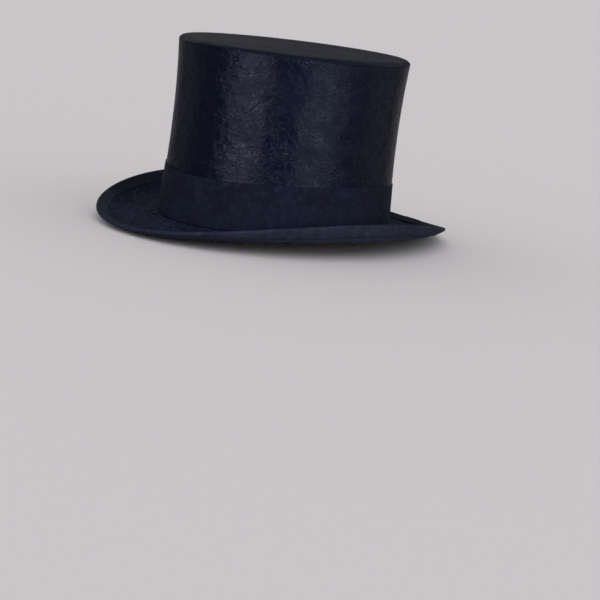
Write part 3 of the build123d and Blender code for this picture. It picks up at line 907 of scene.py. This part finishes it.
class HAT_OT_band(bpy.types.Operator):
    """Make the grosgrain band, the lap over its join and the tacks that hold the lap"""

    bl_idname = "hat.band"
    bl_label = "Hat Band"
    bl_options = {"REGISTER", "UNDO"}

    def execute(self, context):
        crown = context.scene.hat_crown
        angle = round_angles(FINE)
        top = foot(angle) + around(angle, crown.band_side, crown.band_end, crown.band_end, 0)
        top = top + 0.18 * MM * ripple(angle, (2, 3, 5, 11), 3)
        share, height = levels(foot(angle) + BAND_GAP, top, 26)
        stand = 0.12 * MM * ripple(angle[:, None], (5, 9, 14, 23), 4) * np.sin(np.pi * share)
        points = strap_of_wall(angle, height, wall(height) + BAND[0] - stand,
                               wall(height) + BAND[1], 0.15 * MM, 0.1 * MM)
        band = carry_round("grosgrain_band", points, "ribbed_grosgrain")
        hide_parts("hat_band")

        half = 12 * MM / crown.half_depth  # half the lap's turn round the crown
        angle = np.linspace(RIGHT - half, RIGHT + half, 17)
        top = foot(angle) + crown.band_side + 0.1 * MM
        _, height = levels(foot(angle) + BAND_GAP + 0.05 * MM, top, 26)
        points = layer_of_wall(angle, height, wall(height) + BAND_LAP[0],
                               wall(height) + BAND_LAP[1])
        lap = open_strip("band_lap", points, "ribbed_grosgrain")
        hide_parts("hat_band_lap")

        count = 9
        at = np.full(count, RIGHT - half * 0.86)
        level = foot(at) + crown.band_side * (np.arange(count) + 0.5) / count
        spots = place(at, -(wall(level) + BAND_LAP[0] - 0.08 * MM), level)
        along = np.tile([0.0, 0.35, 0.94], (count, 1))  # up the lap's edge, slanted
        outward = np.tile([-1.0, 0.0, 0.0], (count, 1))
        tacks = stitches("band_tacks", spots, along, outward, 2.2 * MM, 0.45 * MM,
                         "black_sewing_silk")
        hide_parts("hat_band_tacks")
        return {"FINISHED"}


class HAT_OT_stitching(bpy.types.Operator):
    """Sew the binding to the brim, the sweatband to its tape and the linings to each other"""

    bl_idname = "hat.stitching"
    bl_label = "Stitching"
    bl_options = {"REGISTER", "UNDO"}

    def execute(self, context):
        self.binding(context.scene.hat_brim, context.scene.hat_cloth)
        angle = self.evenly(150)
        level = foot(angle) + 3.0 * MM
        outward, round_it = directions(angle)
        spots = place(angle, -(wall(level) + LEATHER_IN + LEATHER + 0.08 * MM), level)
        sewn = stitches("sweatband_sewing", spots, round_it, -outward, 2.6 * MM, 0.4 * MM,
                        "pale_sewing_cotton")
        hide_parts("sweatband_stitches")

        angle = round_angles(120)
        level = np.full(len(angle), context.scene.hat_crown.height - 4.45 * MM)
        outward, round_it = directions(angle)
        spots = place(angle, -(wall(level) + TIP_SATIN_IN + 0.2 * MM), level)
        lean = round_it * 0.8 + np.array([0, 0, 0.6])  # whipped, so each slants up
        sewn = stitches("lining_sewing", spots, lean, -outward, 2.0 * MM, 0.35 * MM,
                        "pale_sewing_cotton")
        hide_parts("lining_stitches")
        return {"FINISHED"}

    def evenly(self, count):
        """Angles of stitches spaced evenly round the hat, starting beside its back."""
        return (np.arange(count) + 0.5) * TAU / count + BACK

    def binding(self, brim, cloth):
        """One row of stitches near the binding's edge on each face of the brim."""
        angle = self.evenly(int(cloth.sewn_length / cloth.stitch_pitch))
        outward, round_it = directions(angle)
        along = brim_width(angle) - brim.binding_reach + 1.1 * MM
        spots, proud = [], []
        for side in (-1, 1):
            lift = side * (brim.half_thickness + 0.04 * MM)
            out, up, slope = brim_section(angle, along, lift)
            spots.append(place(angle, out, up))
            normal = -np.sin(slope)[:, None] * outward + np.cos(slope)[:, None] * [[0, 0, 1.0]]
            proud.append(side * normal)
        sewn = stitches("binding_sewing", np.concatenate(spots), np.tile(round_it, (2, 1)),
                        np.concatenate(proud), 2.0 * MM, 0.32 * MM, "black_sewing_silk")
        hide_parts("binding_stitches")


class HAT_OT_sweatband(bpy.types.Operator):
    """Make the leather sweatband, the reed in its edge and the small bow on its back join"""

    bl_idname = "hat.sweatband"
    bl_label = "Sweatband"
    bl_options = {"REGISTER", "UNDO"}

    def execute(self, context):
        angle = round_angles()
        top = foot(angle) + LEATHER_HEIGHT + 0.35 * MM * ripple(angle, (2, 3, 5), 21)
        share, height = levels(foot(angle) + 0.7 * MM, top, 40)
        slack = 0.25 * MM * ripple(angle[:, None], (4, 7, 11, 19), 22) * share**2
        outer = wall(height) + LEATHER_IN + slack
        points = strap_of_wall(angle, height, outer, outer + LEATHER, 0.25 * MM, 0.05 * MM)
        band = carry_round("leather_sweatband", points, "roan_sheepskin")
        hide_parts("sweatband")

        turned = round_angles(12)[None, :]
        out = -REED_IN + REED_RADIUS * np.cos(turned) + 0 * angle[:, None]
        up = foot(angle)[:, None] - REED_DROP + REED_RADIUS * np.sin(turned)
        reed = carry_round("covered_reed", place(angle[:, None], out, up), "roan_sheepskin")
        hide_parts("sweatband_reed")
        self.bow(context.scene.hat_crown)
        return {"FINISHED"}

    def bow(self, crown):
        """A flat bow of narrow ribbon: two loops that widen outwards and bulge, and a knot."""
        level = float(foot(BACK)) + 10 * MM
        rise = np.linspace(-1, 1, 11)
        share = np.linspace(-1, 1, 41)
        angle = BACK + 13 * MM / crown.half_width * share
        away = np.abs(share)
        height = level + ((1.6 + 3.4 * away**0.8) * MM)[:, None] * rise[None, :]
        puff = 0.55 * MM * np.sin(np.pi * np.clip(away, 0, 1)) ** 0.7
        inner = wall(height) + LEATHER_IN + LEATHER + 0.12 * MM
        fullness = (0.6 * MM + puff[:, None]) * (1 - 0.35 * rise[None, :] ** 2)
        pleat = 0.08 * MM * np.cos(3 * np.pi * rise)[None, :] * (1 - away)[:, None]
        points = layer_of_wall(angle, height, inner + fullness + pleat, inner)
        bow = open_strip("ribbon_bow", points, "ribbed_grosgrain")
        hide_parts("sweatband_bow")

        share = np.linspace(-1, 1, 15)
        angle = BACK + 2 * MM / crown.half_width * share
        height = level + ((2.5 - 0.25 * share**2) * MM)[:, None] * rise[None, :]
        ends = np.sqrt(np.clip(1.02 - share**4, 0, 1))[:, None]
        inner = wall(height) + LEATHER_IN + LEATHER + 0.56 * MM
        points = layer_of_wall(angle, height, inner + 1.0 * MM * ends * np.sqrt(1.05 - rise**6),
                               inner)
        knot = open_strip("ribbon_bow_knot", points, "ribbed_grosgrain")
        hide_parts("sweatband_bow_knot")


class HAT_OT_lining(bpy.types.Operator):
    """Make the satin side lining, softly pleated, and the satin oval under the tip"""

    bl_idname = "hat.lining"
    bl_label = "Lining"
    bl_options = {"REGISTER", "UNDO"}

    def execute(self, context):
        crown = context.scene.hat_crown
        angle = round_angles(FINE)
        top = np.full(FINE, crown.height - SATIN_TOP)
        share, height = levels(foot(angle) + SATIN_FOOT, top, 44)
        # the folds start above the leather, deepen up the wall and are pressed out at the tip
        free = np.clip((height - 58 * MM) / (25 * MM), 0, 1) * np.clip((1.02 - share) / 0.12, 0, 1)
        wander = 2.2 * ripple(angle[:, None], (5, 8, 13), 31)
        gathers = 0.5 + 0.5 * np.sin(72 * angle[:, None] + wander
                                     + 1.3 * np.sin(3 * share + 5 * angle[:, None]))
        near_tip = np.clip((share - 0.55) / 0.45, 0, 1)
        outer = wall(height) + SATIN_IN + free * (0.25 + 0.9 * near_tip) * gathers * MM
        side = carry_round("satin_side_lining",
                           layer_of_wall(angle, height, outer, outer + SATIN), "lining_satin")
        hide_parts("lining_side")

        def sag(part, turned):
            """The satin hangs a little at its middle, and puckers where it is whipped at its edge."""
            pucker = 0.12 * MM * np.sin(60 * turned + ripple(turned, (3, 5, 7), 33)) * part**12
            return -0.9 * MM * (1 - part**2) - np.abs(pucker)

        inset = crown.top_inset + TIP_SATIN_IN
        share = np.concatenate([[0.008], np.linspace(0.05, 1, 30)])
        up = np.concatenate([np.full(len(share), crown.height + level) for level in TIP_SATIN])
        tip = close_disc("satin_tip_lining", np.concatenate([share, share[::-1]]), up, inset,
                         "lining_satin", sag)
        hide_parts("lining_tip")
        return {"FINISHED"}


# ---------------------------------------------------------------- stage


class HAT_OT_studio(bpy.types.Operator):
    """Set the camera, a pale floor and soft lights"""

    bl_idname = "hat.studio"
    bl_label = "Studio"

    def execute(self, context):
        self.camera(context, context.scene.hat_studio)
        self.floor(context)
        self.lights(context)
        self.room(context.scene)
        return {"FINISHED"}

    def camera(self, context, studio):
        """Stand the camera where it sees the hat turned by the azimuth, tipped and rolled."""
        middle, level = centre()
        camera = bpy.data.objects.new("camera", bpy.data.cameras.new("camera"))
        camera.data.lens = studio.lens
        camera.data.sensor_width = 36
        context.collection.objects.link(camera)
        about = Matrix.Rotation(studio.azimuth, 3, "Z")
        upright = Matrix(((1, 0, 0), (0, 0, -1), (0, 1, 0)))
        tip = Matrix.Rotation(studio.elevation, 3, "X")
        roll = Matrix.Rotation(studio.roll, 3, "Z")
        turn_back = (roll @ tip @ upright @ about).transposed()
        seat = -(turn_back @ Vector((studio.shift_right, -studio.shift_up, studio.distance)))
        spin = turn_back @ Matrix(((1, 0, 0), (0, -1, 0), (0, 0, -1)))
        stand = Matrix.Translation((seat[0], seat[1] + middle, seat[2] + level))
        camera.matrix_world = stand @ spin.to_4x4()
        context.scene.camera = camera

    def floor(self, context):
        """A wide pale floor at the level the hat stands on."""
        reach = 14.0
        corners = [(-reach, -reach, 0), (reach, -reach, 0), (reach, reach, 0), (-reach, reach, 0)]
        mesh = bpy.data.meshes.new("floor")
        mesh.from_pydata(corners, [], [(0, 1, 2, 3)])
        mesh.materials.append(finish("studio_paper"))
        floor = bpy.data.objects.new("floor", mesh)
        context.collection.objects.link(floor)

    def lights(self, context):
        """Two tall soft boxes, whose streaks run up the crown, and a wide fill behind on the right.
        Each is a name, azimuth about the hat from +X towards +Y, distance, height, size, power
        and colour."""
        boxes = [
            ("key_left", -62, 2.4, 0.5, (0.30, 0.9), 98, (1.0, 0.99, 0.98)),
            ("key_right", 6, 2.4, 0.5, (0.36, 0.9), 76, (0.97, 0.99, 1.0)),
            ("fill_right", 60, 3.0, 0.8, (1.4, 1.4), 7, (0.95, 0.97, 1.0)),
        ]
        # a flag keeps the lamps off the floor, which the room alone lights evenly
        flagged = bpy.data.collections.new("flagged_from_lamps")
        flagged.objects.link(bpy.data.objects["floor"])
        flagged.collection_objects[0].light_linking.link_state = "EXCLUDE"
        for name, azimuth, away, high, size, power, colour in boxes:
            light = bpy.data.lights.new(name, "AREA")
            light.shape = "RECTANGLE"
            light.size, light.size_y = size
            light.energy = power
            light.color = colour
            lamp = bpy.data.objects.new(name, light)
            lamp.light_linking.receiver_collection = flagged
            turned = np.radians(azimuth)
            spot = Vector((away * np.cos(turned), away * np.sin(turned), high))
            aim = (Vector((0, 0, 0.08)) - spot).to_track_quat("-Z", "Y")
            lamp.matrix_world = Matrix.Translation(spot) @ aim.to_matrix().to_4x4()
            context.collection.objects.link(lamp)

    def room(self, scene):
        """The even light of the room, and a view that keeps the cloth's blacks."""
        world = bpy.data.worlds.new("soft_room")
        world.use_nodes = True
        background = world.node_tree.nodes["Background"]
        background.inputs[0].default_value = (0.93, 0.93, 0.95, 1)
        background.inputs[1].default_value = 0.72
        scene.world = world
        scene.view_settings.view_transform = "Standard"


class HAT_PT_panel(bpy.types.Panel):
    """Sidebar panel that lists the hat's operators and sizes"""

    bl_idname = "HAT_PT_panel"
    bl_label = "Top Hat"
    bl_space_type = "VIEW_3D"
    bl_region_type = "UI"
    bl_category = "Top Hat"

    def draw(self, context):
        for operator in OPERATORS:
            self.layout.operator(operator.bl_idname)
        for group in GROUPS:
            settings = getattr(context.scene, group)
            box = self.layout.box()
            for name in settings.bl_rna.properties.keys():
                if name not in ("rna_type", "name"):
                    box.prop(settings, name)


OPERATORS = (HAT_OT_studio, HAT_OT_shells, HAT_OT_crown_plush, HAT_OT_wisps, HAT_OT_brim,
             HAT_OT_band, HAT_OT_stitching, HAT_OT_sweatband, HAT_OT_lining)
CLASSES = (*GROUPS.values(), *OPERATORS, HAT_PT_panel)


def register():
    for cls in CLASSES:
        bpy.utils.register_class(cls)
    for name, group in GROUPS.items():
        setattr(bpy.types.Scene, name, PointerProperty(type=group))


def unregister():
    for name in GROUPS:
        delattr(bpy.types.Scene, name)
    for cls in reversed(CLASSES):
        bpy.utils.unregister_class(cls)


def main():
    register()
    bpy.ops.hat.studio()
    bpy.ops.hat.shells()
    bpy.ops.hat.crown_plush()
    bpy.ops.hat.wisps()
    bpy.ops.hat.brim()
    bpy.ops.hat.band()
    bpy.ops.hat.stitching()
    bpy.ops.hat.sweatband()
    bpy.ops.hat.lining()


if __name__ == "__main__":
    main()
